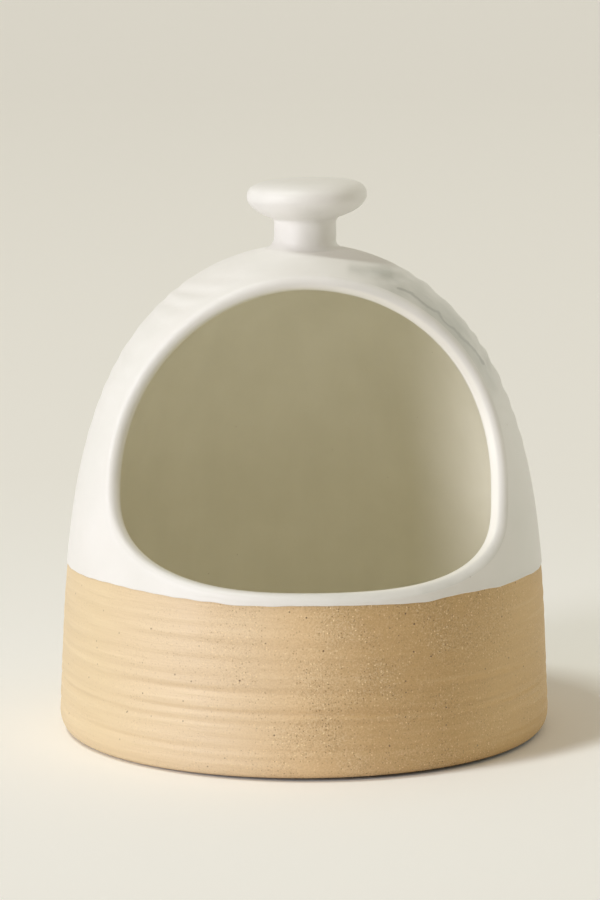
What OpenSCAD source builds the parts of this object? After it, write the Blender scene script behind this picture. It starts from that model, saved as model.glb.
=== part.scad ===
// Stoneware salt pig: a bare-clay pot, a glazed dome with an open mouth, and a knob.
// The mouth faces -Y, Z is up, and the foot stands on z = 0. Millimetres.

/* [Pot and dome] */
// Radius that the wall would reach at the table if the foot had no rounding
pot_r = 65.6; // [58:0.1:74]
// How much the wall leans inwards for each millimetre of height
wall_lean = 0.049; // [0.03:0.001:0.07]
// Height at which the dome would close if it had no knob
crown_z = 128.6; // [118:0.1:140]
// How late the wall turns over into the dome, higher is squarer
turn_power = 3.86; // [3.2:0.02:4.6]
// Thickness of the fired clay wall
wall_t = 3.8; // [3:0.1:5]
// Thickness of each coat of glaze
glaze_t = 0.4; // [0.3:0.05:0.6]
// Height of the line where the white glaze ends
glaze_z = 44.7; // [40:0.1:50]

/* [Floor and foot] */
// Thickness of the floor above the foot's recess
floor_t = 5; // [4:0.1:7]
// Depth of the turned recess under the floor
recess_h = 1.5; // [0.5:0.1:3]
// Width of the ring that the pot stands on
foot_w = 9; // [6:0.5:14]
// Rounding of the foot's outer edge, measured inwards
foot_round_r = 3.6; // [2:0.1:6]
// Rounding of the foot's outer edge, measured upwards
foot_round_h = 5; // [2:0.1:7]
// Radius of the corner between floor and wall, inside
corner_r = 10; // [5:0.5:14]

/* [Joint between pot and dome] */
// How far below the glaze line the joint lies on the outside
joint_drop = 7.7; // [6:0.1:12]
// How far the dome's foot drops inside the pot's rim
lap_h = 5; // [3:0.5:7]

/* [Mouth] */
// How far round the wall the mouth reaches to each side at its widest, in degrees
mouth_angle = 61; // [50:0.1:64]
// How far below the closing height the cut's top lies
mouth_top_gap = 4.7; // [4:0.1:12]
// How far above the glaze line the cut's bottom lies
mouth_bottom_gap = 1; // [0.8:0.1:6]
// Height of the mouth's widest level above the cut's bottom
mouth_wide_h = 23.6; // [18:0.1:32]
// How square the lower left corner is, 2 is an ellipse
corner_left = 2.9; // [2:0.1:4]
// How square the lower right corner is, 2 is an ellipse
corner_right = 3.5; // [2:0.1:4]
// How far the cut sits to the right of the middle
mouth_shift = 0.4; // [-1:0.1:1]

/* [Knob] */
// Radius of the knob
knob_r = 15.2; // [13:0.1:18]
// Height of the knob's widest level above the closing height
knob_rise = 12.9; // [11:0.1:16]
// Depth of the knob's rounded underside
knob_under_h = 6.6; // [5:0.1:8]
// Height of the knob's top above its widest level
knob_top_h = 4.5; // [3.5:0.1:6]
// How flat the knob's top is, 2 is an ellipse
knob_flat = 3; // [2:0.1:5]
// Radius of the neck below the knob
neck_r = 7.7; // [6.5:0.1:9]
// Radius of the sweep from the dome into the neck
sweep_r = 3; // [2:0.1:5]
// Radius of the hollow between the neck and the knob's underside
hollow_r = 2; // [1:0.1:3]
// Radius of the tenon that is luted into the crown
tenon_r = 5; // [3:0.1:6]
// Length of the tenon
tenon_h = 2.4; // [1.5:0.1:2.6]

/* [Smoothness] */
// Steps round the mouth
mouth_steps = 72; // [36:12:96]
// Steps along the dome's profile
dome_steps = 24; // [12:2:36]

/* [Hidden] */
$fn = 120;

clay = "#d9b98a";
white = "#f3efe8";
cream = "#e4dcc4";

// Half of the wall, which is also the radius of the lip
lip_r = wall_t / 2;
floor_z = recess_h + floor_t;
joint_z = glaze_z - joint_drop;
spigot_z = joint_z - lap_h;
knob_z = crown_z + knob_rise;
mouth_bottom_z = glaze_z + mouth_bottom_gap;
mouth_wide_z = mouth_bottom_z + mouth_wide_h;
mouth_top_z = crown_z - mouth_top_gap;

// Root of f between lo and hi, by halving
function root(f, lo, hi, n = 40) =
    let (mid = (lo + hi) / 2)
    n == 0 ? mid
    : f(lo) * f(mid) > 0 ? root(f, mid, hi, n - 1)
    : root(f, lo, mid, n - 1);

// A profile is a list of stations [radius, height, normal's radius, normal's height], the normal leaving the clay
function wall_r(z) = (pot_r - wall_lean * z) * sqrt(max(0, 1 - pow(z / crown_z, turn_power)));
function wall_slope(z) = (wall_r(z + 0.001) - wall_r(z - 0.001)) / 0.002;
function wall(z) =
    let (k = sqrt(1 + pow(wall_slope(z), 2)))
    [wall_r(z), z, 1 / k, -wall_slope(z) / k];

// Points of a profile, moved out along its normals by t
function points(profile, t = 0) = [for (p = profile) [p[0] + t * p[2], p[1] + t * p[3]]];
function reversed(list) = [for (i = [len(list) - 1 : -1 : 0]) list[i]];
function without_first(list) = [for (i = [1 : len(list) - 1]) list[i]];

// Stations of the wall from z0 to z1, closer together towards z1
function wall_run(z0, z1, n) =
    [for (i = [0 : n]) wall(z1 - (z1 - z0) * pow(1 - i / n, 2))];

// Stations of a hollow arc about c, from angle a0 to a1
function hollow_arc(c, r, a0, a1, n) =
    [for (i = [0 : n])
        let (a = a0 + (a1 - a0) * i / n)
        [c[0] + r * cos(a), c[1] + r * sin(a), -cos(a), -sin(a)]];

// How far a hollow of radius r that touches station p stands off the neck
function neck_miss(p, r) = p[0] + r * (p[2] - 1) - neck_r;

// The sweep's start on the dome, its centre and its first angle
sweep_z = root(function(z) neck_miss(wall(z), sweep_r), 0.95 * crown_z, crown_z - 0.01);
sweep_start = wall(sweep_z);
sweep_c = [neck_r + sweep_r, sweep_z + sweep_r * sweep_start[3]];
sweep_a = 180 + atan2(sweep_start[3], sweep_start[2]);

// The knob's rounded underside at angle a below its widest level
function under(a) =
    let (n = [cos(a) / knob_r, -sin(a) / knob_under_h])
    [knob_r * cos(a), knob_z - knob_under_h * sin(a), n[0] / norm(n), n[1] / norm(n)];

// The hollow's end on that underside, its centre and its last angle
hollow_end_a = root(function(a) neck_miss(under(a), hollow_r), 5, 89);
hollow_end = under(hollow_end_a);
hollow_c = [neck_r + hollow_r, hollow_end[1] + hollow_r * hollow_end[3]];
hollow_a = 180 + atan2(hollow_end[3], hollow_end[2]);

// The knob's flattened top, from its rim at a = 0 to the axis at a = 90
function top(a) =
    let (
        u = pow(cos(a), 2 / knob_flat),
        v = pow(sin(a), 2 / knob_flat),
        n = [pow(u, knob_flat - 1) / knob_r, pow(v, knob_flat - 1) / knob_top_h]
    )
    [knob_r * u, knob_z + knob_top_h * v, n[0] / norm(n), n[1] / norm(n)];

// Outside of the clay, from foot to knob, in runs that share their end stations
foot_run = wall_run(foot_round_h, joint_z, 5);
band_run = wall_run(joint_z, glaze_z, 2);
dome_run = wall_run(glaze_z, sweep_z, dome_steps);
knob_run = concat(
    hollow_arc(sweep_c, sweep_r, sweep_a, 180, 6),
    hollow_arc(hollow_c, hollow_r, 180, hollow_a, 6),
    [for (i = [1 : 10]) under(hollow_end_a * (1 - i / 10))],
    [for (i = [1 : 14]) top(90 * i / 14)]
);

// Inside of the clay, from floor to crown, in runs that share their end stations
corner_z = floor_z + corner_r;
corner_x = wall_r(corner_z) - wall_t - corner_r;
function inside(profile) = [for (p = profile) [p[0] - wall_t * p[2], p[1] - wall_t * p[3], -p[2], -p[3]]];
floor_run = concat([[0, floor_z, 0, 1]], hollow_arc([corner_x, corner_z], corner_r, -90, -10, 7));
low_run = inside(wall_run(corner_z, spigot_z, 3));
high_run = concat(inside(wall_run(spigot_z, sweep_z, dome_steps)), [[0, crown_z - wall_t, 0, -1]]);

// The step where the dome's foot drops inside the pot's rim
step_r = wall_r(joint_z) - lip_r;
step_z = high_run[0][1];

// The mouth's outline seen from the front, in polar steps about its widest level
mouth_half_w = (wall_r(mouth_wide_z) - lip_r) * sin(mouth_angle);
mouth_angles = [for (i = [0 : mouth_steps - 1]) 360 * i / mouth_steps];
function mouth_radius(a) =
    let (
        up = sin(a) >= 0,
        h = up ? mouth_top_z - mouth_wide_z : mouth_wide_h,
        n = up ? 2 : cos(a) < 0 ? corner_left : corner_right
    )
    pow(pow(abs(cos(a)) / mouth_half_w, n) + pow(abs(sin(a)) / h, n), -1 / n);

// The middle of the wall at angle a of the outline, and the wall's normal there
function mouth_frame(a) =
    let (
        x = mouth_shift + mouth_radius(a) * cos(a),
        p = wall(mouth_wide_z + mouth_radius(a) * sin(a)),
        r = p[0] - lip_r * p[2],
        y = -sqrt(r * r - x * x)
    )
    [[x, y, p[1] - lip_r * p[3]], [p[2] * x / r, p[2] * y / r, p[3]]];
function mouth_point(a) = mouth_frame(a)[0];
function mouth_normal(a) = mouth_frame(a)[1];

// Direction along the wall into the opening
function mouth_inward(a) =
    let (d = cross(mouth_normal(a), mouth_point(a + 0.2) - mouth_point(a - 0.2)))
    d / norm(d);

// Half a ring of radius r about the lip's centre, from the outside of the wall round to the inside
function lip_arc(a, r, n = 8) =
    [for (i = [0 : n])
        let (b = 90 - 180 * i / n)
        mouth_point(a) + r * (cos(b) * mouth_inward(a) + sin(b) * mouth_normal(a))];

// A closed ring through sections of equal length
module ring_of_sections(sections) {
    n = len(sections);
    m = len(sections[0]);
    polyhedron(
        [for (s = sections) each s],
        [for (i = [0 : n - 1], j = [0 : m - 1])
            let (a = i * m, b = ((i + 1) % n) * m, k = (j + 1) % m)
            each [[a + j, b + j, b + k], [a + j, b + k, a + k]]]
    );
}

// Plug that cuts the mouth square to the wall, closed by a point in front and a point in the hollow
module mouth_plug() {
    reach = 8;
    depths = [reach, lip_r, -lip_r, -reach];
    n = mouth_steps;
    rings = [for (d = depths, a = mouth_angles) mouth_point(a) + d * mouth_normal(a)];
    front = [0, -2 * pot_r, mouth_wide_z];
    back = [0, -pot_r / 5, mouth_wide_z];
    polyhedron(
        concat(rings, [front, back]),
        [for (i = [0 : n - 1])
            let (k = (i + 1) % n)
            each concat(
                [for (r = [0 : n : 2 * n])
                    each [[r + i, r + n + k, r + n + i], [r + i, r + k, r + n + k]]],
                [[4 * n, k, i], [4 * n + 1, 3 * n + i, 3 * n + k]]
            )]
    );
}

// Thrown pot with a turned foot and a rim rebated for the dome
module base_pot() {
    foot_out = wall_r(foot_round_h) - foot_round_r;
    foot_in = foot_out - foot_w;
    color(clay)
    rotate_extrude()
    polygon(concat(
        [[0, recess_h], [foot_in - recess_h, recess_h], [foot_in, 0]],
        [for (a = [-90 : 15 : 0]) [foot_out + foot_round_r * cos(a), foot_round_h * (1 + sin(a))]],
        points(without_first(foot_run)),
        [[step_r, joint_z], [step_r, step_z]],
        points(reversed(low_run)),
        points(reversed(floor_run))
    ));
}

// Thrown dome, its foot stepped to drop inside the pot's rim, its crown socketed for the knob
module dome_shell() {
    color(clay)
    difference() {
        rotate_extrude()
        polygon(concat(
            [[step_r, step_z], [step_r, joint_z]],
            points(band_run),
            points(without_first(dome_run)),
            [[tenon_r, sweep_z], [tenon_r, sweep_z - tenon_h], [0, sweep_z - tenon_h]],
            points(reversed(high_run))
        ));
        mouth_plug();
    }
}

// Rounded clay edge of the mouth
module mouth_lip() {
    color(clay)
    ring_of_sections([for (a = mouth_angles) lip_arc(a, lip_r)]);
}

// Mushroom knob with a tenon for the crown's socket
module knob() {
    color(clay)
    rotate_extrude()
    polygon(concat(
        [[0, sweep_z - tenon_h], [tenon_r, sweep_z - tenon_h], [tenon_r, sweep_z]],
        points(knob_run)
    ));
}

// A coat of glaze over a profile, open at the mouth
module coat(profile) {
    difference() {
        rotate_extrude()
        polygon(concat(points(profile), reversed(points(profile, glaze_t))));
        mouth_plug();
    }
}

// White coat over dome and knob
module outer_glaze() {
    color(white)
    coat(concat(dome_run, without_first(knob_run)));
}

// Cream lining over the floor, the wall and the underside of the crown
module inner_glaze() {
    color(cream)
    coat(concat(floor_run, low_run, without_first(high_run)));
}

// Coat round the lip, from the white coat to the lining
module lip_glaze() {
    color(white)
    ring_of_sections([for (a = mouth_angles)
        concat(lip_arc(a, lip_r + glaze_t), reversed(lip_arc(a, lip_r)))]);
}

base_pot();
dome_shell();
mouth_lip();
knob();
outer_glaze();
inner_glaze();
lip_glaze();
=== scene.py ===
"""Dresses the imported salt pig: thrown clay, glaze coats, pale floor, studio light and camera."""

import math

import bpy
import numpy as np
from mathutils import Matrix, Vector


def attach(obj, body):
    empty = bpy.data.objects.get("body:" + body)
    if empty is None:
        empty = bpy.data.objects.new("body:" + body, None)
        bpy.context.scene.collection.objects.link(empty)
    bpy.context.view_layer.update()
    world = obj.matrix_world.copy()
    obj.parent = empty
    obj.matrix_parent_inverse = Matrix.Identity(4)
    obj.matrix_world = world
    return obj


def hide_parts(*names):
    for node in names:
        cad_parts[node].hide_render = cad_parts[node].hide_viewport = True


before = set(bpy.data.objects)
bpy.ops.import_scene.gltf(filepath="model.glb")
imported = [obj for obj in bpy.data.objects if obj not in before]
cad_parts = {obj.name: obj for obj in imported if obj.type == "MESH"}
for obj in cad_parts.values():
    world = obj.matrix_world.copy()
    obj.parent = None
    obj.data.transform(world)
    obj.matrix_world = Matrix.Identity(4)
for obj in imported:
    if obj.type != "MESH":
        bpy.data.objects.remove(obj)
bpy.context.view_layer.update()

# Shapes are worked out in millimetres, with +X to the right as seen from the mouth, -Y out of the
# mouth and +Z up. phi is an angle round the pot in radians from the front, positive to the right.
# Pairs named _X, _Y, _Z, _S (length along an outline), _SINE, _COSINE or _DEPTH say where a change
# begins and where it is complete.
MM_PER_M = 1000

# The part source's own sizes. The wall's outline is given by its radius at the table, its lean, its
# height and how late it turns in
POT_R, WALL_LEAN, CROWN_Z, TURN_POWER = 65.6, 0.049, 128.6, 3.86
WALL_T = 3.8
LIP_R = WALL_T / 2
FLOOR_Z, CORNER_R = 6.5, 10.0
RECESS_H, FOOT_W, FOOT_ROUND_R, FOOT_ROUND_H = 1.5, 9.0, 3.6, 5.0
MOUTH_ANGLE, MOUTH_SHIFT = math.radians(61), 0.4
MOUTH_WIDE_Z, MOUTH_WIDE_H = 69.3, 23.6
CORNER_LEFT, CORNER_RIGHT = 2.9, 3.5
KNOB_Z, KNOB_UNDER_H, SWEEP_R, HOLLOW_R = 141.5, 6.6, 3.0, 2.0

# Sizes that follow the photo a little more closely than the part does
MOUTH_TOP_Z = 123.4
KNOB_R, KNOB_TOP_H, KNOB_FLAT, KNOB_CONE, NECK_R = 15.5, 4.2, 3.2, 1.78, 7.85
# The mouth was cut by hand, a little wider on its right side; the last three change its roundness
RIGHT_EASE, RIGHT_SHOULDER, LEFT_SHOULDER, RIGHT_CORNER = 0.25, 0.05, -0.07, 0.3
# How far the glaze stands off the wall's nominal face
GLAZE_LIFT = 0.30

# Shadow gap under the foot's outer edge: width, height, share of the height kept on the left, sines
# of phi between which it opens, and the curl at its inner end
UNDERCUT_W, UNDERCUT_H, UNDERCUT_LEFT, UNDERCUT_SINE = 4.2, 0.42, 0.15, (-0.98, -0.1)
CURL_W, CURL_H, CURL_END = 0.3, 0.7, 0.5
# The foot's painted contact shadow, a dark edge: its height above the gap at the left, how much
# more at the right, its depth
FOOT_SHADOW_LEFT, FOOT_SHADOW_MORE, FOOT_SHADOW_X, FOOT_SHADOW_IN = -0.2, 0.62, (-58, 20), 0.2
# Underside: the turning tool's ripple, the fall from the recess to the ring, the ring's inner edge
RIPPLE_H, RIPPLE_TURN, FALL_R, FALL_H, RING_ROUND, RING_FLAT_IN = 0.12, 1.7, 1.5, 0.75, 0.6, 1

# Height of the dipped glaze's edge round the pot: degrees from the front, millimetres
DIP_LINE = [(-150, 45.3), (-110, 44.8), (-80, 45.2), (-56, 45.9), (-44, 46.0), (-34, 45.6),
            (-23, 45.3), (-17, 44.9), (-10, 45.0), (0, 45.2), (8, 45.1), (17, 45.0), (25, 44.7),
            (30, 44.6), (36, 45.3), (44, 45.4), (53, 45.2), (65, 45.3), (80, 44.9), (115, 45.5),
            (155, 44.9)]
DIP_TREMBLE = 0.05
# The dipped coat's rounded lower edge: a height on it, how far it runs into the clay, its slope
DIP_NEAR_Z, DIP_BURY, DIP_SLOPE = 45, 0.05, 0.9

# Trimming grooves in the bare clay: height, depth, half width
GROOVES = [(4.7, 0.14, 0.7), (8.1, 0.22, 0.8), (11.6, 0.07, 0.7), (15.1, 0.24, 0.7),
           (17.4, 0.20, 0.8), (21.8, 0.26, 0.9), (25.7, 0.06, 0.8), (29.6, 0.12, 0.9),
           (34.0, 0.08, 1.0), (39.0, 0.05, 1.1)]
GROOVE_WANDER, GROOVE_MEAN, GROOVE_VARIES, GROOVE_MOST = 0.35, 0.75, 0.4, 1.5
# The clay each groove pushes up beside it: share of its depth, place and width in half widths
BURR, BURR_AT, BURR_W = 0.45, 1.9, 1.5
GROOVES_BEGIN_Z, GROOVES_END_Z = (1.5, 6.5), (41, 44)

# Throwing rings on the dome, stronger on its right, and on the inside
RING_PITCH, RING_LEFT, RING_RIGHT, RING_SWING = 6.2, 0.13, 0.24, 0.3
RING_MEAN, RING_VARIES = 0.75, 0.35
RINGS_BEGIN_Z, RINGS_END_Z = (66, 96), (119, 125.5)
INSIDE_PITCH, INSIDE_RING = 9.0, 0.05
INSIDE_BEGIN_S, INSIDE_END_S = (45, 75), (8, 30)
# The hand's slow waver
WAVER, WAVER_BEGIN_Z = 0.05, (5, 15)
# The bare wall is turned a little slimmer low down
CLAY_LIFT, CLAY_SLIM, CLAY_SLIM_Z = 0.05, 0.2, (18, 40)
# Heights over which the rounded foot takes up the wall's relief
FOOT_RELIEF_Z = (1.0, 5.0)
# Round the mouth the wall is smoothed by hand: reach, and the wall's radius outside and inside
MOUTH_SMOOTHED, MOUTH_WALL_R, MOUTH_INSIDE_R = 9, 60, 55

# The knob was joined by hand: its tilt, the height it turns about, and two steps to the right
KNOB_WAVER, KNOB_TILT, KNOB_TURN_Z = 0.07, 0.03, 134
KNOB_TILT_Z = (128, 138)
NECK_STEP, NECK_STEP_Z = 0.3, (128.1, 131.5)
CAP_STEP, CAP_STEP_Z = 0.6, (134.5, 139)
KNOB_JOIN_S, KNOB_WAVER_S, KNOB_TOP_S = (0, 3), (2, 6), (0, 5)

# Steps along the outlines, and rows and columns of the mesh. A power crowds rows at the mouth
PROFILE_STEPS, CORNER_STEPS, HOLLOW_STEPS, UNDER_STEPS, TOP_STEPS = 4000, 300, 200, 300, 600
OUTER_ROWS, OUTER_POWER, INNER_ROWS, INNER_POWER = 85, 1.35, 70, 1.3
LIP_ROWS, EDGE_ROWS, KNOB_ROWS, WALL_ROWS, ROUND_ROWS, RECESS_ROWS = 37, 7, 110, 150, 16, 40
ARC_ROWS, RING_ROWS, GAP_ROWS = 6, 8, 5
CLAY_COLUMNS, WELD_DIGITS = 420, 5
# Powers of the lip's section, 2 for a round one. Inside: mean, more to the right, more upward.
# Outside: mean, how much less round the given degrees of the mouth, and how narrowly
LIP_INNER_POWER, LIP_OUTER_POWER = (3.6, 1.0, -1.5), (2.2, 0.9, -45, 4)
# Share of the way from the lip to the back of the inside that still counts as lip
LIP_INSIDE = 0.016
# The bare wall runs on behind the glaze, upward and then into the wall
CLAY_BEHIND_UP, CLAY_BEHIND_IN = 0.3, 0.8

# Painted dark reflection in the white glaze on the right shoulder, by X and Z: a thin wavering
# line and a soft patch
REFLECTION_LINE_PATH = [(24.2, 119.5), (27.9, 117.9), (31.8, 114.6), (34.7, 112.9), (36.2, 110.7),
            (39.1, 108.3), (42.0, 105.3), (44.7, 102.2), (46.8, 99.0)]
REFLECTION_PATCH_PATH = [(12.3, 124.3), (15.5, 123.6), (18.6, 123.1), (21.8, 122.6)]
# Strength and spread of the painted shade beside them, which the back of the dome does not have
REFLECTION_LINE_SHADE, REFLECTION_PATCH_SHADE, FRONT_Y = (0.95, 7.0), (0.5, 1.2), (-14, 10)
# The painted line's distance is stored with an offset, because pieces without the mark read 0
LINE_OFFSET, LINE_REACH, LINE_END = 20, 10, 2
# Painted shade on the lip's outer side at a lower right corner and an upper right shoulder:
# strength, degrees round the mouth and power, and depths as shares of its width
LIP_PAINTED_SHADE, LIP_SHADE_DEPTH = [(0.6, -38, 6), (0.35, 50, 6)], (0.15, 0.5)
LIP_INSIDE_DEPTH = (0.35, 0.95)
# The lip's pale rim, a painted highlight on its inner edge at the right: angle of the mouth,
# cosines from it over which it sets in, depths
RIM_HIGHLIGHT_AT, RIM_HIGHLIGHT_COSINE, RIM_HIGHLIGHT_DEPTH = math.radians(10), (0.15, 0.5), (0.3, 0.5)
# Painted shade on the knob's neck at its front right, and a little grey on the cap's left end
NECK_PAINTED_SHADE, NECK_BEGIN_X, NECK_END_X, NECK_Y = 0.28, (-4, 2), (3, 9), (-6, 4)
NECK_TOP_Z = (138.5, 142)
CAP_LEFT_GREY, CAP_LEFT_X = 0.18, (-13, -6)


def smooth(x, a, b):
    """Rises from 0 at a to 1 at b with no corners."""
    t = np.clip((x - a) / (b - a), 0, 1)
    return t * t * (3 - 2 * t)


def noise_round(phi, s, seed, count, turns, pitch):
    """Smooth noise of about unit size that closes on itself round the pot."""
    rng = np.random.default_rng(seed)
    total = 0.0
    for _ in range(count):
        m = rng.integers(0, turns + 1)
        k = rng.normal() / pitch
        p = rng.uniform(0, 2 * np.pi)
        total = total + np.cos(m * phi + 2 * np.pi * k * s + p)
    return total * math.sqrt(2 / count)


def around(phi, stations):
    """A smooth closed curve through (degrees, value) stations."""
    a = np.array([p[0] for p in stations], float)
    v = np.array([p[1] for p in stations], float)
    a = np.concatenate([a[-2:] - 360, a, a[:2] + 360])
    v = np.concatenate([v[-2:], v, v[:2]])
    x = (np.degrees(phi) + 180) % 360 - 180
    i = np.clip(np.searchsorted(a, x, side="right") - 1, 1, len(a) - 3)
    t = (x - a[i]) / (a[i + 1] - a[i])
    m0 = (v[i + 1] - v[i - 1]) / (a[i + 1] - a[i - 1]) * (a[i + 1] - a[i])
    m1 = (v[i + 2] - v[i]) / (a[i + 2] - a[i]) * (a[i + 1] - a[i])
    return ((2 * t**3 - 3 * t**2 + 1) * v[i] + (t**3 - 2 * t**2 + t) * m0
            + (3 * t**2 - 2 * t**3) * v[i + 1] + (t**3 - t**2) * m1)


def angle_round(p):
    """phi of points."""
    return np.arctan2(p[:, 0], -p[:, 1])


class Profile:
    """A turned outline: radius, height and the normal that leaves the clay, by length along it."""

    def __init__(self, r, z, nr, nz):
        self.r, self.z, self.nr, self.nz = (np.asarray(q, float) for q in (r, z, nr, nz))
        self.s = np.concatenate([[0], np.cumsum(np.hypot(np.diff(self.r), np.diff(self.z)))])
        self.length = self.s[-1]

    def at(self, s, phi, lift):
        """Points at length s and angle phi, moved out along the normal by lift."""
        r, z, nr, nz = (np.interp(s, self.s, q) for q in (self.r, self.z, self.nr, self.nz))
        return turned(r + lift * nr, phi, z + lift * nz)


def turned(r, phi, z):
    """Points at a radius, an angle round the pot and a height."""
    return np.stack(np.broadcast_arrays(r * np.sin(phi), -r * np.cos(phi), z), -1)


def wall_r(z):
    """Radius of the wall's nominal outer face."""
    return (POT_R - WALL_LEAN * z) * np.sqrt(np.maximum(0, 1 - (z / CROWN_Z) ** TURN_POWER))


def wall_normal(z, step=1e-5):
    """Outward and upward parts of that face's normal."""
    slope = (wall_r(z + step) - wall_r(z - step)) / (2 * step)
    k = np.hypot(1, slope)
    return 1 / k, -slope / k


def root(f, lo, hi, halvings=60):
    """Where f changes sign between lo and hi."""
    for _ in range(halvings):
        mid = (lo + hi) / 2
        lo, hi = (mid, hi) if f(lo) * f(mid) > 0 else (lo, mid)
    return lo


def neck_miss(r, nr, hollow):
    """How far a hollow of that radius that touches the outline stands off the knob's neck."""
    return r + hollow * (nr - 1) - NECK_R


def under(a):
    """The knob's rounded underside at angle a below its widest level."""
    u, v = np.cos(a).clip(0) ** (2 / KNOB_CONE), np.sin(a).clip(0) ** (2 / KNOB_CONE)
    n = np.array([u ** (KNOB_CONE - 1) / KNOB_R, -(v ** (KNOB_CONE - 1)) / KNOB_UNDER_H])
    n = n / np.hypot(*n)
    return KNOB_R * u, KNOB_Z - KNOB_UNDER_H * v, n[0], n[1]


# Height where the crown sweeps into the neck, and angle where the neck meets the knob's underside
SWEEP_Z = root(lambda z: neck_miss(wall_r(z), wall_normal(z)[0], SWEEP_R),
               0.95 * CROWN_Z, CROWN_Z - 0.01)
HOLLOW_A = root(lambda a: neck_miss(under(a)[0], under(a)[2], HOLLOW_R), 0.1, 1.55)


def outer_profile():
    """The wall from the foot's rounding to the knob's neck."""
    z = SWEEP_Z - (SWEEP_Z - FOOT_ROUND_H) * (1 - np.linspace(0, 1, PROFILE_STEPS)) ** 2
    return Profile(wall_r(z), z, *wall_normal(z))


def inner_profile():
    """The clay's inside, from the middle of the floor to the crown, with the wall's own normals."""
    cz = FLOOR_Z + CORNER_R
    cx = wall_r(cz) - WALL_T - CORNER_R
    a = np.radians(np.linspace(-90, 0, CORNER_STEPS))
    top = CROWN_Z - 1e-4
    z = top - (top - cz) * (1 - np.linspace(0, 1, PROFILE_STEPS)[1:]) ** 2
    nr, nz = wall_normal(z)
    return Profile(
        np.concatenate([[0], cx + CORNER_R * np.cos(a), wall_r(z) - WALL_T * nr, [0]]),
        np.concatenate([[FLOOR_Z], cz + CORNER_R * np.sin(a), z - WALL_T * nz, [CROWN_Z - WALL_T]]),
        np.concatenate([[0], np.cos(a), nr, [0]]),
        np.concatenate([[-1], np.sin(a), nz, [1]]))


def hollow_arc(radius, z, begin, end):
    """A hollow arc against the knob's neck."""
    a = np.linspace(begin, end, HOLLOW_STEPS)
    return (NECK_R + radius + radius * np.cos(a), z + radius * np.sin(a), -np.cos(a), -np.sin(a))


def knob_profile():
    """Sweep out of the crown, neck, hollow under the cap, underside and top of the cap."""
    nr, nz = wall_normal(SWEEP_Z)
    end = under(HOLLOW_A)
    t = np.linspace(0, math.pi / 2, TOP_STEPS)[1:]
    u, v = np.cos(t).clip(0) ** (2 / KNOB_FLAT), np.sin(t) ** (2 / KNOB_FLAT)
    n = np.array([u ** (KNOB_FLAT - 1) / KNOB_R, v ** (KNOB_FLAT - 1) / KNOB_TOP_H])
    n = n / np.hypot(*n)
    parts = [hollow_arc(SWEEP_R, SWEEP_Z + SWEEP_R * nz, math.pi + math.atan2(nz, nr), math.pi),
             hollow_arc(HOLLOW_R, end[1] + HOLLOW_R * end[3],
                        math.pi, math.pi + math.atan2(end[3], end[2])),
             under(np.linspace(HOLLOW_A, 0, UNDER_STEPS)[1:]),
             (KNOB_R * u, KNOB_Z + KNOB_TOP_H * v, n[0], n[1])]
    return Profile(*(np.concatenate(q) for q in zip(*parts)))


OUTER, INNER, KNOB = outer_profile(), inner_profile(), knob_profile()
FOOT_OUT = wall_r(FOOT_ROUND_H) - FOOT_ROUND_R


def outer_s(z):
    """Length along the outside at height z."""
    return np.interp(z, OUTER.z, OUTER.s)


def inner_s(z):
    """Length along the inside that lies behind height z of the outside."""
    nz = wall_normal(z)[1]
    wall = slice(1 + CORNER_STEPS, None)
    return np.interp(z - WALL_T * nz, INNER.z[wall], INNER.s[wall])


def dip_z(phi):
    """Height of the dipped glaze's edge."""
    tremble = noise_round(phi, 0, seed=21, count=9, turns=60, pitch=1)
    return around(phi, DIP_LINE) + DIP_TREMBLE * tremble


def wall_relief(phi, s):
    """Throwing rings, trimming grooves and the hand's slow waver on the outside of the wall."""
    z = np.interp(s, OUTER.s, OUTER.z)
    waver = WAVER * noise_round(phi, s, seed=5, count=10, turns=3, pitch=60)
    swing = RING_SWING * noise_round(phi, s, seed=6, count=6, turns=3, pitch=45)
    strength = RING_MEAN + RING_VARIES * noise_round(phi, s, seed=7, count=8, turns=4, pitch=30)
    left, right = 0.5 - 0.5 * np.sin(phi), 0.5 + 0.5 * np.sin(phi)
    ring = np.cos(2 * np.pi * (s / RING_PITCH + swing) + phi)
    dome = RING_LEFT * left * ring + RING_RIGHT * right * ring
    dome = dome * strength * smooth(z, *RINGS_BEGIN_Z) * (1 - smooth(z, *RINGS_END_Z))
    pot = 0.0
    for i, (height, depth, half) in enumerate(GROOVES):
        wander = noise_round(phi, 0, seed=30 + i, count=5, turns=3, pitch=1)
        varies = noise_round(phi, 0, seed=50 + i, count=6, turns=5, pitch=1)
        bite = depth * np.clip(GROOVE_MEAN + GROOVE_VARIES * varies, 0, GROOVE_MOST)
        d = (z - (height + GROOVE_WANDER * wander)) / half
        pot = pot - bite * (np.exp(-d * d) - BURR * np.exp(-((d - BURR_AT) / BURR_W) ** 2))
    pot = pot * smooth(z, *GROOVES_BEGIN_Z) * (1 - smooth(z, *GROOVES_END_Z))
    return waver * smooth(z, *WAVER_BEGIN_Z) + dome + pot


def clay_lift(z):
    """How far the bare wall stands off the nominal face."""
    return CLAY_LIFT - CLAY_SLIM * (1 - smooth(z, *CLAY_SLIM_Z))


def inside_relief(phi, s):
    """Softer rings on the inside, from above the floor to below the crown."""
    swing = RING_SWING * noise_round(phi, s, seed=8, count=6, turns=2, pitch=50)
    ring = INSIDE_RING * np.cos(2 * np.pi * (s / INSIDE_PITCH + swing) + phi)
    return ring * smooth(s, *INSIDE_BEGIN_S) * smooth(INNER.length - s, *INSIDE_END_S)


def foot_gap(phi):
    """Height of the shadow gap under the foot's outer edge: nearly shut at the left."""
    open_share = smooth(np.sin(phi), *UNDERCUT_SINE)
    return UNDERCUT_H * (UNDERCUT_LEFT + (1 - UNDERCUT_LEFT) * open_share)


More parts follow.
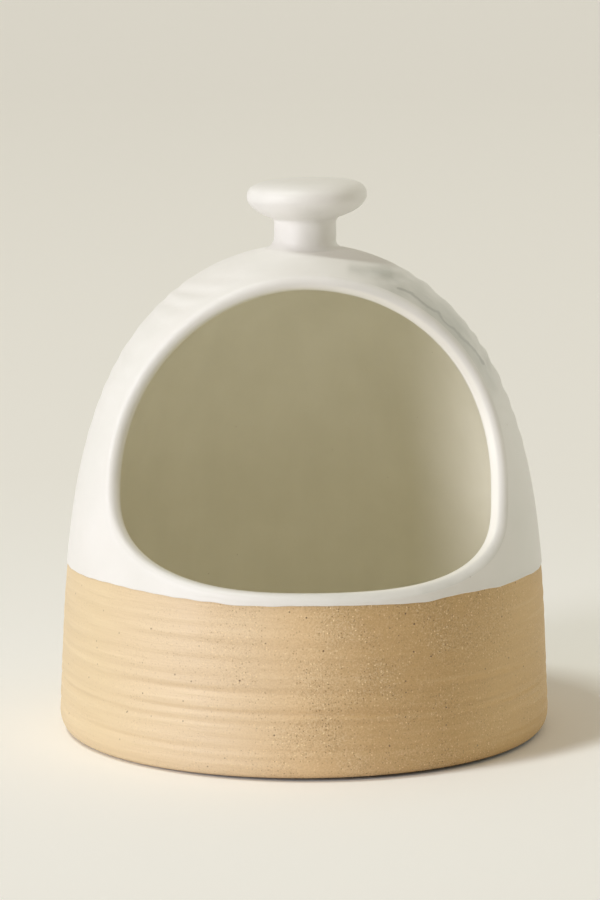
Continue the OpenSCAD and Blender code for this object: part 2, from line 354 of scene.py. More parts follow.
def mouth_frame(a):
    """Middle of the wall at angle a of the mouth's outline, the wall's normal, phi and height."""
    up, right = np.sin(a) >= 0, np.cos(a) > 0
    half_w = (wall_r(MOUTH_WIDE_Z) - LIP_R) * math.sin(MOUTH_ANGLE) + RIGHT_EASE * right
    h = np.where(up, MOUTH_TOP_Z - MOUTH_WIDE_Z, MOUTH_WIDE_H)
    shoulder = 2.0 + np.where(right, RIGHT_SHOULDER, LEFT_SHOULDER)
    corner = np.where(right, CORNER_RIGHT + RIGHT_CORNER, CORNER_LEFT)
    n = np.where(up, shoulder, corner)
    radius = (np.abs(np.cos(a) / half_w) ** n + np.abs(np.sin(a) / h) ** n) ** (-1 / n)
    x, z = MOUTH_SHIFT + radius * np.cos(a), MOUTH_WIDE_Z + radius * np.sin(a)
    nr, nz = wall_normal(z)
    r = wall_r(z) - LIP_R * nr
    y = -np.sqrt(r * r - x * x)
    middle = np.stack([x, y, z - LIP_R * nz], -1)
    return middle, np.stack([nr * x / r, nr * y / r, nz], -1), np.arcsin(x / r), z


def facing(a, degrees, power):
    """1 at that angle of the mouth's outline, 0 from a right angle away; a power narrows it."""
    return np.maximum(0, np.cos(a - math.radians(degrees))) ** power


# Columns of the glazed mesh run from the mouth's edge to the rim of the unrolled wall, whose four
# sides are the seam at the back (twice), the knob and the dip line
SIDE, TOP, BOTTOM = 96, 144, 240
LOW_A, HIGH_A = math.radians(-10), math.radians(48)


def columns():
    """Mouth angle of each column, and where it ends: phi and the share of the way up."""
    t = np.arange(SIDE) / SIDE
    right = LOW_A + (HIGH_A - LOW_A) * t, np.full(SIDE, np.pi), t
    u = np.arange(TOP) / TOP
    over = HIGH_A + (np.pi - 2 * HIGH_A) * u, np.pi * (1 - 2 * u), np.ones(TOP)
    left = np.pi - HIGH_A + (HIGH_A - LOW_A) * t, np.full(SIDE, -np.pi), 1 - t
    q = 2 * np.arange(BOTTOM) / BOTTOM - 1
    below = (np.pi - LOW_A + (np.pi + 2 * LOW_A) * (q + 1) / 2,
             np.pi * (q / 3 + 2 * q**3 / 3), np.zeros(BOTTOM))
    return [np.concatenate(k) for k in zip(right, over, left, below)]


class Mesh:
    """Points and faces of the whole pot, so that pieces which meet share their normals."""

    def __init__(self):
        self.points, self.faces, self.owner, self.count = [], [], [], 0

    def grid(self, rows, owners):
        """Quads between closed rows of points. Seen from outside with the rows running upward,
        the columns run to the left. owners names the piece of each strip."""
        n, m = rows.shape[:2]
        i, j = np.meshgrid(np.arange(n - 1), np.arange(m), indexing="ij")
        k = (j + 1) % m
        quads = np.stack([i * m + j, (i + 1) * m + j, (i + 1) * m + k, i * m + k], -1)
        self.points.append(rows.reshape(-1, 3))
        self.faces.append(quads.reshape(-1, 4) + self.count)
        self.owner.append(np.repeat(np.asarray(owners), m))
        self.count += n * m

    def strips(self, rows, owner):
        """A grid that belongs to one piece."""
        self.grid(rows, [owner] * (len(rows) - 1))

    def weld(self):
        """All points once, the faces, their owners, and each point's normal over all pieces."""
        p, f = np.concatenate(self.points), np.concatenate(self.faces)
        same = np.round(p, WELD_DIGITS)
        _, first, back = np.unique(same, axis=0, return_index=True, return_inverse=True)
        p, f = p[first], back.reshape(-1)[f]
        face_n = np.cross(p[f[:, 2]] - p[f[:, 0]], p[f[:, 3]] - p[f[:, 1]])
        normals = np.zeros_like(p)
        for c in range(4):
            np.add.at(normals, f[:, c], face_n)
        normals /= np.maximum(np.linalg.norm(normals, axis=1, keepdims=True), 1e-12)
        return p, f, np.concatenate(self.owner), normals


def along_path(p, path):
    """Distance of points from a path seen from the front, with a sign for its side, and a share
    that is 1 beside the path, 0 past its ends and 0 at the back."""
    q, best = p[:, [0, 2]], np.full(len(p), 1e9)
    signed, beside = best.copy(), np.zeros(len(p))
    last = len(path) - 2
    for i, (a, b) in enumerate(zip(np.array(path[:-1]), np.array(path[1:]))):
        length = np.hypot(*(b - a))
        d = (b - a) / length
        t = (q - a) @ d
        inside = np.clip(t, 0, length)
        gap = np.hypot(*(q - a - inside[:, None] * d).T)
        over = np.abs(t - inside) * ((i == 0) & (t < 0) | (i == last) & (t > 0))
        nearer = gap < best
        best = np.where(nearer, gap, best)
        side = np.where((q - a) @ np.array([-d[1], d[0]]) < 0, -1, 1)
        signed = np.where(nearer, gap * side, signed)
        beside = np.where(nearer, 1 - smooth(over, 0, LINE_END), beside)
    return signed, beside * (p[:, 1] < 0)


def band(distance, strength, spread):
    """A soft band either side of a line."""
    return strength * np.exp(-(distance / spread) ** 2)


def clay_marks(p):
    """Distance below the glaze, and height above the painted contact shadow at the foot's edge,
    which fades to the left.
    """
    phi = angle_round(p)
    edge = foot_gap(phi) + FOOT_SHADOW_LEFT + FOOT_SHADOW_MORE * smooth(p[:, 0], *FOOT_SHADOW_X)
    inward = FOOT_OUT - FOOT_SHADOW_IN - np.hypot(p[:, 0], p[:, 1])
    return {"under_glaze": dip_z(phi) - p[:, 2], "over_foot_shadow": np.maximum(p[:, 2] - edge, inward)}


def lip_marks(p):
    """Where the lip turns inside; a painted highlight on its inner rim at the right; painted
    shade at a corner and a shoulder.
    """
    nr = wall_normal(p[:, 2])[0]
    depth = (wall_r(p[:, 2]) + GLAZE_LIFT / nr - np.hypot(p[:, 0], p[:, 1])) * nr
    depth /= WALL_T + 2 * GLAZE_LIFT
    a = np.arctan2(p[:, 2] - MOUTH_WIDE_Z, p[:, 0] - MOUTH_SHIFT)
    grey = sum(strength * facing(a, at, power) for strength, at, power in LIP_PAINTED_SHADE)
    rim = smooth(np.cos(a - RIM_HIGHLIGHT_AT), *RIM_HIGHLIGHT_COSINE) * smooth(depth, *RIM_HIGHLIGHT_DEPTH)
    return {"inside": smooth(depth, *LIP_INSIDE_DEPTH) * (1 - rim), "rim": rim,
            "grey": grey * (1 - smooth(depth, *LIP_SHADE_DEPTH))}


def dome_marks(p):
    """The painted reflection line, and the painted shade beside it and in the soft patch."""
    line, beside = along_path(p, REFLECTION_LINE_PATH)
    cloud = along_path(p, REFLECTION_PATCH_PATH)[0]
    grey = band(line, *REFLECTION_LINE_SHADE) + band(cloud, *REFLECTION_PATCH_SHADE)
    return {"reflection_line": LINE_OFFSET + np.clip(line, -LINE_REACH, LINE_REACH),
            "beside_reflection_line": beside, "grey": grey * (1 - smooth(p[:, 1], *FRONT_Y))}


def knob_marks(p):
    """Painted shade on the neck's front right and under the cap there, and a little grey at the
    left end.
    """
    x, y, z = p.T
    side = smooth(x, *NECK_BEGIN_X) * (1 - smooth(x, *NECK_END_X)) * (1 - smooth(y, *NECK_Y))
    below_cap, left_end = 1 - smooth(z, *NECK_TOP_Z), 1 - smooth(x, *CAP_LEFT_X)
    return {"grey": NECK_PAINTED_SHADE * side * below_cap + CAP_LEFT_GREY * left_end}


# What the materials need to know of a piece's points, in millimetres or as a share
MARKS = {"clay_body": clay_marks, "lip_coat": lip_marks, "dome_coat": dome_marks,
         "knob_coat": knob_marks, "cream_lining": lambda p: {}}


def link_object(name, data):
    """A new object in the scene."""
    obj = bpy.data.objects.new(name, data)
    bpy.context.scene.collection.objects.link(obj)
    return obj


def make_piece(name, p, f, normals):
    """A Blender object from some of the faces, with the whole pot's normals."""
    used, f = np.unique(f, return_inverse=True)
    polys = []
    for quad in f.reshape(-1, 4).tolist():
        ring = [v for i, v in enumerate(quad) if v != quad[i - 1]]
        if len(set(ring)) >= 3:
            polys.append(ring)
    mesh = bpy.data.meshes.new(name)
    mesh.from_pydata((p[used] / MM_PER_M).tolist(), [], polys)
    mesh.shade_smooth()
    mesh.normals_split_custom_set_from_vertices(normals[used].tolist())
    for key, values in MARKS[name](p[used]).items():
        attribute = mesh.attributes.new(key, "FLOAT", "POINT")
        attribute.data.foreach_set("value", values.astype(np.float32))
    return link_object(name, mesh)


def clear_of_mouth(phi, s, phi_e, z_e):
    """0 at the mouth's edge, where the wall is smoothed by hand, and 1 away from it."""
    return smooth(np.hypot((phi - phi_e) * MOUTH_WALL_R, s - outer_s(z_e)), 0, MOUTH_SMOOTHED)


def glazed_rows():
    """Rows of the glazed wall: from its rim to the mouth, over the lip, back along the inside."""
    a, phi_b, w_b = columns()
    middle, normal, phi_e, z_e = mouth_frame(a)
    tangent = mouth_frame(a + 1e-4)[0] - mouth_frame(a - 1e-4)[0]
    inward = np.cross(normal, tangent)
    inward /= np.linalg.norm(inward, axis=1, keepdims=True)

    rows, owners = [], []
    start = outer_s(dip_z(phi_e))
    w_e = (outer_s(z_e) - start) / (OUTER.length - start)
    for t in np.linspace(1, 0, OUTER_ROWS) ** OUTER_POWER:
        phi, w = phi_e + (phi_b - phi_e) * t, w_e + (w_b - w_e) * t
        start = outer_s(dip_z(phi))
        s = start + w * (OUTER.length - start)
        relief = wall_relief(phi, s) * clear_of_mouth(phi, s, phi_e, z_e)
        rows.append(OUTER.at(s, phi, GLAZE_LIFT + relief))
        owners.append("dome_coat")

    roll = LIP_R + GLAZE_LIFT
    squarer, right, up = LIP_INNER_POWER
    inner_square = (2 / (squarer + right * np.cos(a) + up * np.sin(a)))[:, None]
    rounder, less, at, power = LIP_OUTER_POWER
    outer_square = (2 / (rounder - less * facing(a, at, power)))[:, None]
    for b in np.radians(np.linspace(90, -90, LIP_ROWS)[1:-1]):
        square = outer_square if b > 0 else inner_square
        across = np.sign(b) * abs(math.sin(b)) ** square
        along = math.cos(b) ** square
        rows.append(middle + roll * (along * inward + across * normal))
        owners.append("lip_coat")

    s_e = inner_s(z_e)
    for t in np.linspace(0, 1, INNER_ROWS) ** INNER_POWER:
        phi, s = phi_e + (phi_b - phi_e) * t, s_e + (w_b * INNER.length - s_e) * t
        gone = np.hypot((phi - phi_e) * MOUTH_INSIDE_R, s - s_e)
        relief = inside_relief(phi, s) * smooth(gone, 0, MOUTH_SMOOTHED)
        rows.append(INNER.at(s, phi, relief - GLAZE_LIFT))
        owners.append("lip_coat" if t < LIP_INSIDE else "cream_lining")
    return np.array(rows)[:, ::-1], owners[:-1]


def dip_edge_rows():
    """The rounded lower edge of the white coat, from inside the clay up to the coat."""
    a, phi, _ = [k[-BOTTOM:] for k in columns()]
    phi_e, z_e = mouth_frame(a)[2:]
    top = outer_s(dip_z(phi))
    clear = clear_of_mouth(phi, top, phi_e, z_e)
    drop = GLAZE_LIFT - clay_lift(DIP_NEAR_Z) + DIP_BURY
    rows = []
    for b in np.radians(np.linspace(0, 90, EDGE_ROWS)):
        s = top - DIP_SLOPE * drop * math.sin(b)
        lift = GLAZE_LIFT - drop * (1 - math.cos(b))
        rows.append(OUTER.at(s, phi, lift + wall_relief(phi, s) * clear))
    return np.array(rows[::-1])[:, ::-1]


def knob_rows():
    """The knob, set a little to one side and tipped, from its top down."""
    phi = columns()[1][SIDE:SIDE + TOP]
    crown = wall_relief(phi, OUTER.length)
    rows = []
    for s in KNOB.length * np.linspace(0, 1, KNOB_ROWS):
        waver = KNOB_WAVER * noise_round(phi, s, seed=11, count=7, turns=3, pitch=14)
        waver = waver * smooth(s, *KNOB_WAVER_S) * smooth(KNOB.length - s, *KNOB_TOP_S)
        p = KNOB.at(s, phi, GLAZE_LIFT + crown * (1 - smooth(s, *KNOB_JOIN_S)) + waver)
        x, z = p[:, 0], p[:, 2]
        tilt, above = KNOB_TILT * smooth(z, *KNOB_TILT_Z), z - KNOB_TURN_Z
        moved = NECK_STEP * smooth(z, *NECK_STEP_Z), CAP_STEP * smooth(z, *CAP_STEP_Z)
        rows.append(np.stack([x - tilt * above + moved[0] + moved[1], p[:, 1],
                              KNOB_TURN_Z + above + tilt * x], -1))
    rows = np.array(rows)
    rows[-1] = rows[-1].mean(0)
    return rows[::-1, ::-1]


def clay_rows():
    """The bare pot: recessed underside, foot ring, rounded foot, wall to just behind the glaze."""
    phi = np.linspace(-np.pi, np.pi, CLAY_COLUMNS, endpoint=False)
    foot_in, gap_in, gap = FOOT_OUT - FOOT_W, FOOT_OUT - UNDERCUT_W, foot_gap(phi)
    path = [(r, RECESS_H + RIPPLE_H * math.cos(r * RIPPLE_TURN))
            for r in np.linspace(0, foot_in - 3 * FALL_R, RECESS_ROWS)]
    path += [(foot_in - 2 * FALL_R + FALL_R * math.sin(b), RECESS_H - FALL_H * (1 - math.cos(b)))
             for b in np.linspace(0, 1.5, ARC_ROWS)]
    path += [(foot_in + RING_ROUND - 2 * RING_ROUND * math.cos(b), RING_ROUND * (1 - math.sin(b)))
             for b in np.linspace(0.2, 1.57, ARC_ROWS)]
    path += [(r, 0.0) for r in np.linspace(foot_in + RING_FLAT_IN, gap_in, RING_ROWS)]
    path += [(gap_in + CURL_W * math.sin(b), CURL_H * (1 - math.cos(b)) * gap)
             for b in (0.5, 1.0, 1.5)]
    path += [(r, gap) for r in np.linspace(gap_in + CURL_END, FOOT_OUT, GAP_ROWS)]
    rows = [turned(r, phi, z) for r, z in path]
    for b in np.radians(np.linspace(-90, 0, ROUND_ROWS)[1:]):
        r = FOOT_OUT + (FOOT_ROUND_R + clay_lift(FOOT_ROUND_H)) * math.cos(b)
        z = gap + (FOOT_ROUND_H - gap) * (1 + math.sin(b))
        rows.append(turned(r + wall_relief(phi, 0.0) * smooth(z, *FOOT_RELIEF_Z), phi, z))
    top = outer_s(dip_z(phi) + CLAY_BEHIND_UP)
    for t in np.linspace(0, 1, WALL_ROWS)[1:]:
        s = top * t
        lift = clay_lift(np.interp(s, OUTER.s, OUTER.z))
        rows.append(OUTER.at(s, phi, lift + wall_relief(phi, s)))
    rows.append(OUTER.at(top, phi, -CLAY_BEHIND_IN))
    return np.array(rows)[:, ::-1]


pot = Mesh()
pot.grid(*glazed_rows())
pot.strips(dip_edge_rows(), "dome_coat")
pot.strips(knob_rows(), "knob_coat")
pot.strips(clay_rows(), "clay_body")
points, faces, owner, normals = pot.weld()

pieces = {name: make_piece(name, points, faces[owner == name], normals)
          for name in ("clay_body", "dome_coat", "lip_coat", "knob_coat", "cream_lining")}
STANDS_FOR = {"clay_body": ["base_pot", "dome_shell"], "dome_coat": ["outer_glaze"],
              "lip_coat": ["lip_glaze", "mouth_lip"], "knob_coat": ["knob"],
              "cream_lining": ["inner_glaze"]}
for name, obj in pieces.items():
    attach(obj, "root")
    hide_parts(*STANDS_FOR[name])


class Shader:
    """Builds a node material on one Principled shader, in the object's own coordinates."""

    def __init__(self, name):
        self.material = bpy.data.materials.new(name)
        self.material.use_nodes = True
        self.tree = self.material.node_tree
        self.out = self.tree.nodes["Principled BSDF"]
        self.place = self.node("ShaderNodeTexCoord").outputs["Object"]

    def node(self, kind, **settings):
        n = self.tree.nodes.new(kind)
        for key, value in settings.items():
            setattr(n, key, value)
        return n

    def feed(self, socket, value):
        """Links a socket, or sets it when the value is a number or a colour."""
        if isinstance(value, tuple):
            socket.default_value = (*value, 1)
        elif isinstance(value, (int, float)):
            socket.default_value = value
        else:
            self.tree.links.new(value, socket)

    def mark(self, name):
        """One of a piece's marks. It reads 0 on pieces without it."""
        return self.node("ShaderNodeAttribute", attribute_name=name).outputs["Fac"]

    def mapped(self, field, value):
        """The object's coordinates, stretched (Scale) or shifted (Location)."""
        n = self.node("ShaderNodeMapping")
        n.inputs[field].default_value = value
        self.feed(n.inputs["Vector"], self.place)
        return n.outputs["Vector"]

    def noise(self, scale, detail=2.0, stretch=None, roughness=0.5):
        n = self.node("ShaderNodeTexNoise")
        self.feed(n.inputs["Scale"], scale)
        self.feed(n.inputs["Detail"], detail)
        self.feed(n.inputs["Roughness"], roughness)
        self.feed(n.inputs["Vector"], self.mapped("Scale", stretch) if stretch else self.place)
        return n.outputs["Fac"]

    def specks(self, scale, size, share, shift):
        """1 inside small round specks, in that share of the cells of a scattered lattice."""
        v = self.node("ShaderNodeTexVoronoi")
        self.feed(v.inputs["Scale"], scale)
        self.feed(v.inputs["Vector"], self.mapped("Location", (shift, shift * 1.7, shift * 0.6)))
        dot = self.ranged(v.outputs["Distance"], (size, size * 0.55))
        pick = self.node("ShaderNodeSeparateColor")
        self.feed(pick.inputs["Color"], v.outputs["Color"])
        return self.times(dot, self.math("LESS_THAN", pick.outputs["Red"], share))

    def math(self, how, *values):
        n = self.node("ShaderNodeMath", operation=how)
        for socket, value in zip(n.inputs, values):
            self.feed(socket, value)
        return n.outputs[0]

    def times(self, a, b):
        return self.math("MULTIPLY", a, b)

    def ranged(self, value, between, to=(0, 1)):
        """Takes a value between two limits to two others, and no further."""
        n = self.node("ShaderNodeMapRange")
        self.feed(n.inputs["Value"], value)
        for key, limit in zip(("From Min", "From Max", "To Min", "To Max"), (*between, *to)):
            n.inputs[key].default_value = limit
        return n.outputs["Result"]

    def ramp(self, value, stops):
        n = self.node("ShaderNodeValToRGB")
        elements = n.color_ramp.elements
        while len(elements) < len(stops):
            elements.new(0.5)
        for e, (at, colour) in zip(elements, stops):
            e.position, e.color = at, (*colour, 1)
        self.feed(n.inputs["Fac"], value)
        return n.outputs["Color"]

    def mix(self, share, a, b):
        """Colour a, with colour b laid over it by that share."""
        n = self.node("ShaderNodeMix", data_type="RGBA")
        for socket, value in zip((n.inputs[0], n.inputs[6], n.inputs[7]), (share, a, b)):
            self.feed(socket, value)
        return n.outputs[2]

    def bump(self, height, depth, under=None):
        n = self.node("ShaderNodeBump")
        self.feed(n.inputs["Distance"], depth)
        self.feed(n.inputs["Height"], height)
        if under is not None:
            self.feed(n.inputs["Normal"], under)
        return n.outputs["Normal"]

    def finish(self, colour, roughness, normal):
        self.feed(self.out.inputs["Base Color"], colour)
        self.feed(self.out.inputs["Roughness"], roughness)
        self.feed(self.out.inputs["Normal"], normal)
        return self.material


# Colours of the bare clay from its left to its right, partly kiln flashing and partly painted light
# and shade: paler on the lit left, darkest in a painted core shade right of the middle, a little
# lighter at the right edge. Then the share of grain there, greatest where the light grazes
CLAY_TONES_AND_PAINTED_LIGHT = [(0.0, (0.785, 0.622, 0.389)), (0.25, (0.79, 0.612, 0.403)),
              (0.5, (0.775, 0.543, 0.296)), (0.68, (0.62, 0.402, 0.18)),
              (0.85, (0.593, 0.373, 0.145)), (1.0, (0.662, 0.438, 0.185))]
CLAY_GRAIN = [(0.0, 0.15), (0.25, 0.3), (0.5, 0.9), (0.8, 1.0), (1.0, 0.5)]
# Metres left and right over which it changes, and what that and slow blotches add to the scale
CLAY_SPAN, FLASH_AND_LIGHT_ACROSS, FLASH_BLOTCH = (-0.055, 0.055), (-0.15, 0.85), (0, 0.3)
GRAIN_PATCHES = (0.55, 1.15)
# Tones laid over it: where they set in, by noise or by millimetres below the glaze; shares; colour
WHEEL_STREAKS = [((0.35, 0.65), (0.12, 0), (0.40, 0.25, 0.10)),
                 ((0.55, 0.75), (0, 0.14), (0.90, 0.74, 0.50))]
# Darker clay just below the glaze's edge: a broad band, and a thin line at the edge
DARKER_BELOW_GLAZE = [((6.0, 0), (0, 0.26), (0.50, 0.31, 0.09)),
                ((0.9, 0.25), (0, 0.35), (0.42, 0.25, 0.10))]
GRAINS = [((0.3, 0.5), (0.42, 0), (0.33, 0.205, 0.085)),
          ((0.5, 0.7), (0, 0.42), (0.97, 0.80, 0.55))]
IRON, SAND, QUARTZ = (0.13, 0.06, 0.015), (0.27, 0.14, 0.04), (1.0, 0.77, 0.47)
# The foot's painted contact shadow: its near-black colour, and over what height it sets in
FOOT_PAINTED_SHADOW, FOOT_SHADOW_SOFT = (0.02, 0.012, 0.006), (0.12, -0.06)
SAND_SHARE, CLAY_SHINE, CLAY_ROUGHNESS = 0.8, 0.9, (0.5, 0.68)
# Bumps, in metres
GRAIN_BUMP, STREAK_BUMP, CLOUD_BUMP = 0.0003, 0.00035, 0.0003

GLAZE_TONES = [(0.3, (0.835, 0.815, 0.785)), (0.7, (0.875, 0.858, 0.835))]
# The white's cool patches, the cream inside the lip, and the pale painted highlight of the lip's
# rim
GLAZE_COOL, GLAZE_INSIDE, PAINTED_RIM_HIGHLIGHT = (0.76, 0.765, 0.72), (0.85, 0.81, 0.68), (0.945, 0.92, 0.86)
# Grey of the painted shade on the shoulder, lip and knob; grey of the painted reflection line;
# specks
PAINTED_SHADE_GREY, REFLECTION_LINE_GREY, WHITE_SPECK = (0.56, 0.56, 0.525), (0.30, 0.30, 0.28), (0.45, 0.38, 0.28)
INSIDE_SHARE, RIM_HIGHLIGHT_SHARE, LINE_SHARE, WHITE_SPECK_SHARE = 0.7, 0.9, 0.5, 0.35
LINE_WANDER, LINE_SOFT = 0.4, (0.36, 0.08)
WHITE_SKIN_BUMP, WHITE_ROUGHNESS = 0.00008, (0.42, 0.52)

CREAM_TONES = [(0.36, (0.885, 0.85, 0.704)), (0.64, (0.955, 0.92, 0.776))]
CREAM_SPECK, CREAM_SPECK_SHARE, RUNS_SHARE = (0.35, 0.28, 0.17), 0.3, 0.35
CREAM_SKIN_BUMP, CREAM_ROUGHNESS = 0.00006, (0.34, 0.44)


def bare_clay():
    """Sandy stoneware, paler on the lit side and darker on the shaded side: partly kiln flashing,
    partly painted light and shade. Streaked by the wheel, with specks and grains.
    """
    m = Shader("bare_clay")
    blotch = m.noise(scale=24, detail=3)
    streak = m.noise(scale=1, detail=4, stretch=(22, 22, 480), roughness=0.6)
    grain = m.noise(scale=2300, roughness=0.6)
    axes = m.node("ShaderNodeSeparateXYZ")
    m.feed(axes.inputs[0], m.place)
    # Tone across the pot: partly kiln flashing, partly painted light and shade
    flash_and_painted_light = m.math("ADD", m.ranged(axes.outputs["X"], CLAY_SPAN, FLASH_AND_LIGHT_ACROSS),
                   m.ranged(blotch, (0, 1), FLASH_BLOTCH))
    rough = m.ramp(flash_and_painted_light, [(at, (share,) * 3) for at, share in CLAY_GRAIN])
    rough = m.times(rough, m.ranged(m.noise(scale=75), (0.4, 0.6), GRAIN_PATCHES))

    colour = m.ramp(flash_and_painted_light, CLAY_TONES_AND_PAINTED_LIGHT)
    for between, shares, tint in WHEEL_STREAKS:
        colour = m.mix(m.ranged(streak, between, shares), colour, tint)
    below = m.mark("under_glaze")
    for source, tones in ((below, DARKER_BELOW_GLAZE), (grain, GRAINS)):
        for between, shares, tint in tones:
            colour = m.mix(m.times(m.ranged(source, between, shares), rough), colour, tint)
    # Height above the foot's painted contact shadow, which darkens the clay there and takes its
    # shine
    above = m.mark("over_foot_shadow")
    colour = m.mix(m.ranged(above, FOOT_SHADOW_SOFT), colour, FOOT_PAINTED_SHADOW)
    iron = m.specks(scale=480, size=0.15, share=0.16, shift=0.31)
    sand = m.specks(scale=1250, size=0.31, share=0.36, shift=0.77)
    quartz = m.specks(scale=1250, size=0.30, share=0.26, shift=0.12)
    colour = m.mix(m.times(iron, m.ranged(rough, (0, 0.6), (0.25, 1))), colour, IRON)
    colour = m.mix(m.times(m.times(sand, SAND_SHARE), rough), colour, SAND)
    colour = m.mix(m.times(quartz, rough), colour, QUARTZ)
    normal = m.bump(m.times(grain, rough), GRAIN_BUMP, m.bump(streak, STREAK_BUMP))
    m.feed(m.out.inputs["Specular IOR Level"], m.ranged(above, FOOT_SHADOW_SOFT, (CLAY_SHINE, 0)))
    return m.finish(colour, m.ranged(grain, (0.3, 0.7), CLAY_ROUGHNESS), normal)


def white_glaze():
    """Satin white with soft clouds and cream inside the lip. Painted light on it: a highlight on
    the lip's right rim, shade on the shoulder, lip and knob, and a dark reflection line.
    """
    m = Shader("white_glaze")
    cloud = m.noise(scale=42, detail=3)
    skin = m.noise(scale=330)
    colour = m.ramp(cloud, GLAZE_TONES)
    colour = m.mix(m.ranged(m.noise(scale=31), (0.5, 0.68), (0, 0.3)), colour, GLAZE_COOL)
    colour = m.mix(m.times(m.mark("inside"), INSIDE_SHARE), colour, GLAZE_INSIDE)
    # A painted highlight on the lip's inner rim at the right, where the cream gives way
    colour = m.mix(m.times(m.mark("rim"), RIM_HIGHLIGHT_SHARE), colour, PAINTED_RIM_HIGHLIGHT)
    # Painted shade from the pieces' grey marks, mottled
    mottle = m.ranged(m.noise(scale=95, detail=3), (0.35, 0.65), (0.45, 1.0))
    colour = m.mix(m.times(m.mark("grey"), mottle), colour, PAINTED_SHADE_GREY)
    # The painted reflection line, wandering a little, and only beside its path
    wander = m.ranged(skin, (0, 1), (-LINE_OFFSET - LINE_WANDER, -LINE_OFFSET + LINE_WANDER))
    line = m.math("ABSOLUTE", m.math("ADD", m.mark("reflection_line"), wander))
    line = m.times(m.ranged(line, LINE_SOFT, (0, LINE_SHARE)), m.mark("beside_reflection_line"))
    colour = m.mix(line, colour, REFLECTION_LINE_GREY)
    specks = m.specks(scale=190, size=0.06, share=0.12, shift=0.4)
    colour = m.mix(m.times(specks, WHITE_SPECK_SHARE), colour, WHITE_SPECK)
    normal = m.bump(skin, WHITE_SKIN_BUMP, m.bump(cloud, CLOUD_BUMP))
    return m.finish(colour, m.ranged(cloud, (0.3, 0.7), WHITE_ROUGHNESS), normal)


def cream_glaze():
    """Warm satin lining with soft runs and a few fine specks."""
    m = Shader("cream_glaze")
    cloud = m.noise(scale=36, detail=3)
    skin = m.noise(scale=300)
    runs = m.noise(scale=1, detail=3, stretch=(95, 95, 22))
    tone = m.math("ADD", m.times(cloud, 1 - RUNS_SHARE), m.times(runs, RUNS_SHARE))
    colour = m.ramp(tone, CREAM_TONES)
    specks = m.specks(scale=260, size=0.06, share=0.14, shift=0.9)
    colour = m.mix(m.times(specks, CREAM_SPECK_SHARE), colour, CREAM_SPECK)
    normal = m.bump(skin, CREAM_SKIN_BUMP, m.bump(cloud, CLOUD_BUMP))
    return m.finish(colour, m.ranged(cloud, (0.3, 0.7), CREAM_ROUGHNESS), normal)


clay, white, cream = bare_clay(), white_glaze(), cream_glaze()
FINISH = {"clay_body": (clay, "bare_clay"), "dome_coat": (white, "white_glaze"),
          "lip_coat": (white, "white_glaze"), "knob_coat": (white, "white_glaze"),
          "cream_lining": (cream, "cream_glaze")}
for name, (material, slot) in FINISH.items():
    pieces[name].data.materials.append(material)


# The studio, in metres. Floor: half width, where it sweeps up behind, the bend's radius and steps,
# its top. It lies a hair below the foot ring, so that the two share no plane
FLOOR_HALF, BACK_Y, BEND_R, BEND_STEPS, BACK_TOP, FLOOR_DROP = 4.0, 2.2, 0.8, 24, 3.0, -2e-5
# The paper as light falls on it, and as the camera sees it from the pot outward
PAPER_TONES = [(0.3, (0.915, 0.915, 0.905)), (0.7, (0.925, 0.925, 0.915))]
SEEN_TONES, SEEN_FADE = [(0.0, (1.045, 1.04, 1.035)), (1.0, (0.35, 0.345, 0.34))], (0.10, 0.40)
SEEN_GLOW = (0.485, 0.465, 0.405)
PAPER_SHINE, PAPER_ROUGHNESS, PAPER_BUMP = 0.1, (0.85, 0.9), 0.0001
# Even light from all round, and the backdrop above the floor's far edge
FILL, BACKDROP = (0.369, 0.329, 0.251), (0.70, 0.67, 0.59)
# Soft lights: degrees to the right of the camera's side, degrees up, distance, width, height,
# watts, colour. They face a point this high above the table
LIGHTS = {"key": (-52.5, 14, 2.5, 0.62, 1.247, 32.8, (0.88, 0.88, 0.97)),
          "top": (-66, 66, 2.5, 0.28, 0.50, 18.2, (0.945, 1.0, 0.955)),
          "card": (116, 15, 2.0, 2.9, 1.07, 6.8, (0.91, 1.0, 0.945))}
LIGHTS_AIM_Z = 0.06
# The photograph's view, 600 by 900 with the long side on the sensor
CAMERA_AIM, CAMERA_RISE, CAMERA_FAR = (-0.001094, 0, 0.074035), math.radians(9.499), 1.0
CAMERA_SENSOR, CAMERA_LENS = 36, 150.86


def seen(tree):
    """1 for the rays by which the camera sees a surface: directly, mirrored or through glass."""
    rays = tree.nodes.new("ShaderNodeLightPath").outputs
    share = rays["Is Camera Ray"]
    for kind in ("Is Glossy Ray", "Is Transmission Ray"):
        either = tree.nodes.new("ShaderNodeMath")
        either.operation = "MAXIMUM"
        tree.links.new(share, either.inputs[0])
        tree.links.new(rays[kind], either.inputs[1])
        share = either.outputs[0]
    return share


def pale_paper():
    """Plain paper for the light; for the camera it fades outward into an even pale backdrop."""
    m = Shader("pale_floor")
    tone = m.noise(scale=3)
    shown = seen(m.tree)
    away = m.node("ShaderNodeVectorMath", operation="LENGTH")
    m.feed(away.inputs[0], m.place)
    fade = m.ranged(away.outputs["Value"], SEEN_FADE)
    m.feed(m.out.inputs["Emission Color"], SEEN_GLOW)
    m.feed(m.out.inputs["Emission Strength"], m.times(shown, fade))
    m.feed(m.out.inputs["Specular IOR Level"], PAPER_SHINE)
    return m.finish(m.mix(shown, m.ramp(tone, PAPER_TONES), m.ramp(fade, SEEN_TONES)),
                    m.ranged(tone, (0, 1), PAPER_ROUGHNESS), m.bump(tone, PAPER_BUMP))


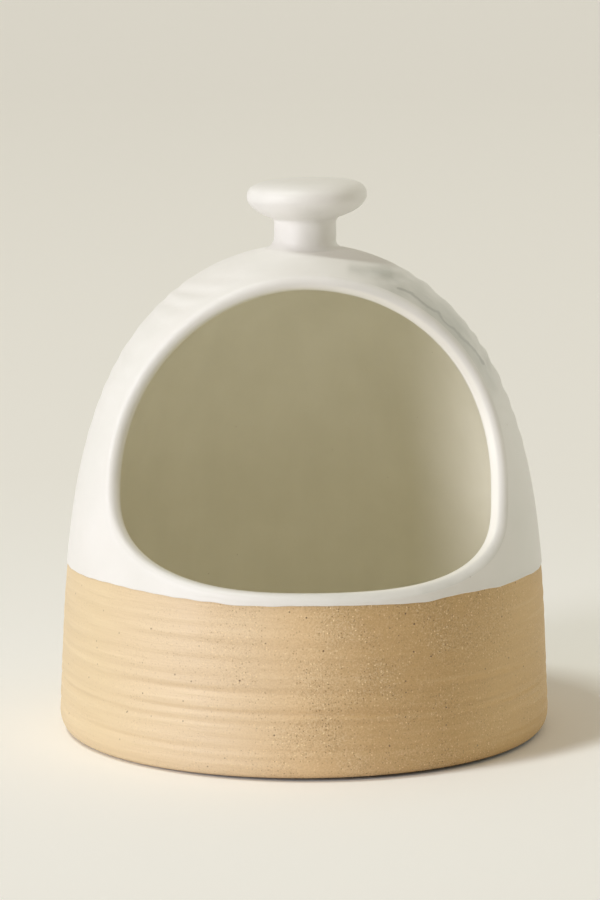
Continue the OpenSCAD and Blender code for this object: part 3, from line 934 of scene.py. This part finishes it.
def lay_floor():
    """A seamless sheet that sweeps up far behind the pot."""
    side = [(-FLOOR_HALF, FLOOR_DROP), (BACK_Y, FLOOR_DROP)]
    side += [(BACK_Y + BEND_R * math.sin(b), BEND_R * (1 - math.cos(b)))
             for b in np.radians(np.linspace(4, 90, BEND_STEPS))]
    side += [(BACK_Y + BEND_R, BACK_TOP)]
    mesh = bpy.data.meshes.new("floor")
    mesh.from_pydata([(x, y, z) for y, z in side for x in (-FLOOR_HALF, FLOOR_HALF)], [],
                     [(2 * i, 2 * i + 1, 2 * i + 3, 2 * i + 2) for i in range(len(side) - 1)])
    mesh.shade_smooth()
    mesh.materials.append(pale_paper())
    obj = link_object("floor", mesh)


def soft_light(name, azimuth, rise, far, wide, tall, energy, colour):
    """A rectangular soft light, turned to face the pot."""
    lamp = bpy.data.lights.new(name, "AREA")
    lamp.shape, lamp.size, lamp.size_y = "RECTANGLE", wide, tall
    lamp.energy, lamp.color = energy, colour
    az, el = math.radians(azimuth), math.radians(rise)
    toward = Vector((math.sin(az) * math.cos(el), -math.cos(az) * math.cos(el), math.sin(el)))
    obj = link_object(name, lamp)
    obj.location = toward * far + Vector((0, 0, LIGHTS_AIM_Z))
    obj.rotation_euler = (-toward).to_track_quat("-Z", "Y").to_euler()


def fill_light():
    """Even warm light from all round. The camera sees a pale backdrop in its place."""
    world = bpy.data.worlds.new("fill")
    bpy.context.scene.world = world
    world.use_nodes = True
    tree = world.node_tree
    sky = tree.nodes["Background"]
    sky.inputs["Strength"].default_value = 1.0
    blend = tree.nodes.new("ShaderNodeMix")
    blend.data_type = "RGBA"
    blend.inputs[6].default_value = (*FILL, 1)
    blend.inputs[7].default_value = (*BACKDROP, 1)
    tree.links.new(seen(tree), blend.inputs[0])
    tree.links.new(blend.outputs[2], sky.inputs["Color"])


def studio():
    """Pale floor, a low tall key on the left, a compact high light behind it, a weak card on the
    right, and even fill."""
    lay_floor()
    for name, settings in LIGHTS.items():
        soft_light(name, *settings)
    fill_light()


def photo_camera():
    """The photograph's view."""
    data = bpy.data.cameras.new("camera")
    data.sensor_width, data.lens = CAMERA_SENSOR, CAMERA_LENS
    cam = link_object("camera", data)
    aim = Vector(CAMERA_AIM)
    back = Vector((0, -math.cos(CAMERA_RISE), math.sin(CAMERA_RISE)))
    cam.location = aim + CAMERA_FAR * back
    cam.rotation_euler = (aim - cam.location).to_track_quat("-Z", "Y").to_euler()
    bpy.context.scene.camera = cam


studio()
photo_camera()
bpy.context.scene.view_settings.view_transform = "Standard"
